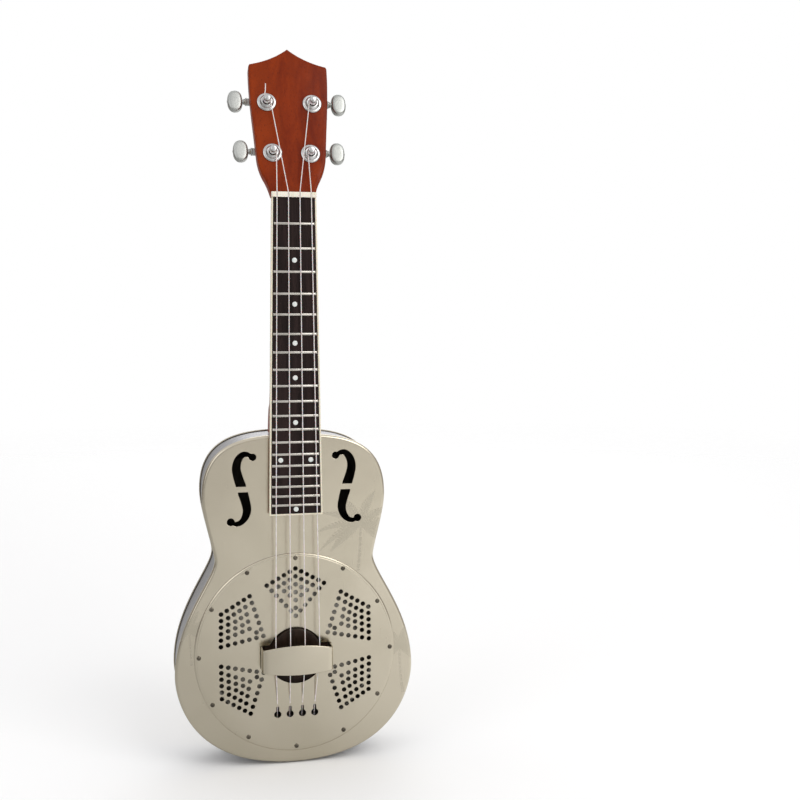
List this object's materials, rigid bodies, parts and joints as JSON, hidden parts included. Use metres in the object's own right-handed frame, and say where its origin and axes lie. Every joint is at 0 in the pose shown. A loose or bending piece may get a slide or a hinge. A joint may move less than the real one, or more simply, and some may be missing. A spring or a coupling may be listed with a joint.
{
  "type": "resonator ukulele",
  "caption": "Small four-course resonator ukulele: plated sheet-metal body, biscuit cone under a screwed perforated cover, wooden neck and geared tuners.",
  "frame": {"origin": "middle of the neck just above the nut, where a wall hanger's yoke takes the shoulders of the head", "axes": "+Z along the neck towards the head's tip, -Y the side that the strings face, +X to the right seen from that side"},
  "size_m": [0.2016, 0.0779, 0.6039],
  "materials": {
    "nickel_plate": "warm mirror-bright nickel plate over sheet metal",
    "brushed_nickel": "grey satin plate on the side band",
    "spun_aluminium": "spun, fine circular lines",
    "biscuit_maple": "dark stained maple",
    "bone": "ivory white, lightly polished",
    "ivory_binding": "cream, polished",
    "mahogany": "reddish brown gloss lacquer",
    "rosewood": "very dark brown, open grain, oiled",
    "fret_wire": "polished nickel silver",
    "gear_brass": "machined",
    "chrome": "mirror bright",
    "satin_chrome": "satin",
    "clear_nylon": "translucent white"
  },
  "bodies": {
    "body": {"top_plate": "nickel_plate", "side_band": "brushed_nickel", "back_plate": "nickel_plate", "cone_well": "nickel_plate", "resonator_cone": "spun_aluminium", "biscuit": "biscuit_maple", "saddle": "bone", "cover_plate": "nickel_plate", "hand_rest": "nickel_plate", "neck": "mahogany", "fingerboard": "rosewood", "fingerboard_binding": "ivory_binding", "nut": "bone", "fret_01": "fret_wire", "fret_02": "fret_wire", "fret_03": "fret_wire", "fret_04": "fret_wire", "fret_05": "fret_wire", "fret_06": "fret_wire", "fret_07": "fret_wire", "fret_08": "fret_wire", "fret_09": "fret_wire", "fret_10": "fret_wire", "fret_11": "fret_wire", "fret_12": "fret_wire", "fret_13": "fret_wire", "fret_14": "fret_wire", "fret_15": "fret_wire", "fret_16": "fret_wire", "fret_17": "fret_wire", "fret_18": "fret_wire", "fret_19": "fret_wire", "tuner_1_bush": "chrome", "tuner_1_housing": "satin_chrome", "tuner_2_bush": "chrome", "tuner_2_housing": "satin_chrome", "tuner_3_bush": "chrome", "tuner_3_housing": "satin_chrome", "tuner_4_bush": "chrome", "tuner_4_housing": "satin_chrome", "string_1": "clear_nylon", "string_2": "clear_nylon", "string_3": "clear_nylon", "string_4": "clear_nylon"},
    "tuner_1_button": {"tuner_1_worm_shaft": "gear_brass", "tuner_1_knob": "satin_chrome"},
    "tuner_1_winder": {"tuner_1_post": "chrome", "tuner_1_gear": "gear_brass"},
    "tuner_2_button": {"tuner_2_worm_shaft": "gear_brass", "tuner_2_knob": "satin_chrome"},
    "tuner_2_winder": {"tuner_2_post": "chrome", "tuner_2_gear": "gear_brass"},
    "tuner_3_button": {"tuner_3_worm_shaft": "gear_brass", "tuner_3_knob": "satin_chrome"},
    "tuner_3_winder": {"tuner_3_post": "chrome", "tuner_3_gear": "gear_brass"},
    "tuner_4_button": {"tuner_4_worm_shaft": "gear_brass", "tuner_4_knob": "satin_chrome"},
    "tuner_4_winder": {"tuner_4_post": "chrome", "tuner_4_gear": "gear_brass"}
  },
  "joints": [
    {"name": "tuner_1_knob_turn", "type": "hinge", "parent": "body", "child": "tuner_1_button", "pos_m": [0.0157, 0.02181, 0.03091], "axis": [1, 0, 0], "continuous": true},
    {"name": "tuner_1_post_turn", "type": "hinge", "parent": "body", "child": "tuner_1_winder", "pos_m": [0.0157, 0.00467, 0.0282], "axis": [0, 0.9563, -0.2924], "continuous": true},
    {"name": "tuner_2_knob_turn", "type": "hinge", "parent": "body", "child": "tuner_2_button", "pos_m": [0.019, 0.03497, 0.07394], "axis": [1, 0, 0], "continuous": true},
    {"name": "tuner_2_post_turn", "type": "hinge", "parent": "body", "child": "tuner_2_winder", "pos_m": [0.019, 0.01783, 0.07123], "axis": [0, 0.9563, -0.2924], "continuous": true},
    {"name": "tuner_3_knob_turn", "type": "hinge", "parent": "body", "child": "tuner_3_button", "pos_m": [-0.019, 0.03497, 0.07394], "axis": [1, 0, 0], "continuous": true},
    {"name": "tuner_3_post_turn", "type": "hinge", "parent": "body", "child": "tuner_3_winder", "pos_m": [-0.019, 0.01783, 0.07123], "axis": [0, 0.9563, -0.2924], "continuous": true},
    {"name": "tuner_4_knob_turn", "type": "hinge", "parent": "body", "child": "tuner_4_button", "pos_m": [-0.0157, 0.02181, 0.03091], "axis": [1, 0, 0], "continuous": true},
    {"name": "tuner_4_post_turn", "type": "hinge", "parent": "body", "child": "tuner_4_winder", "pos_m": [-0.0157, 0.00467, 0.0282], "axis": [0, 0.9563, -0.2924], "continuous": true}
  ],
  "couplings": [
    {"joint": "tuner_1_post_turn", "follows": "tuner_1_knob_turn", "ratio": 0.071429},
    {"joint": "tuner_2_post_turn", "follows": "tuner_2_knob_turn", "ratio": 0.071429},
    {"joint": "tuner_3_post_turn", "follows": "tuner_3_knob_turn", "ratio": 0.071429},
    {"joint": "tuner_4_post_turn", "follows": "tuner_4_knob_turn", "ratio": 0.071429}
  ]
}
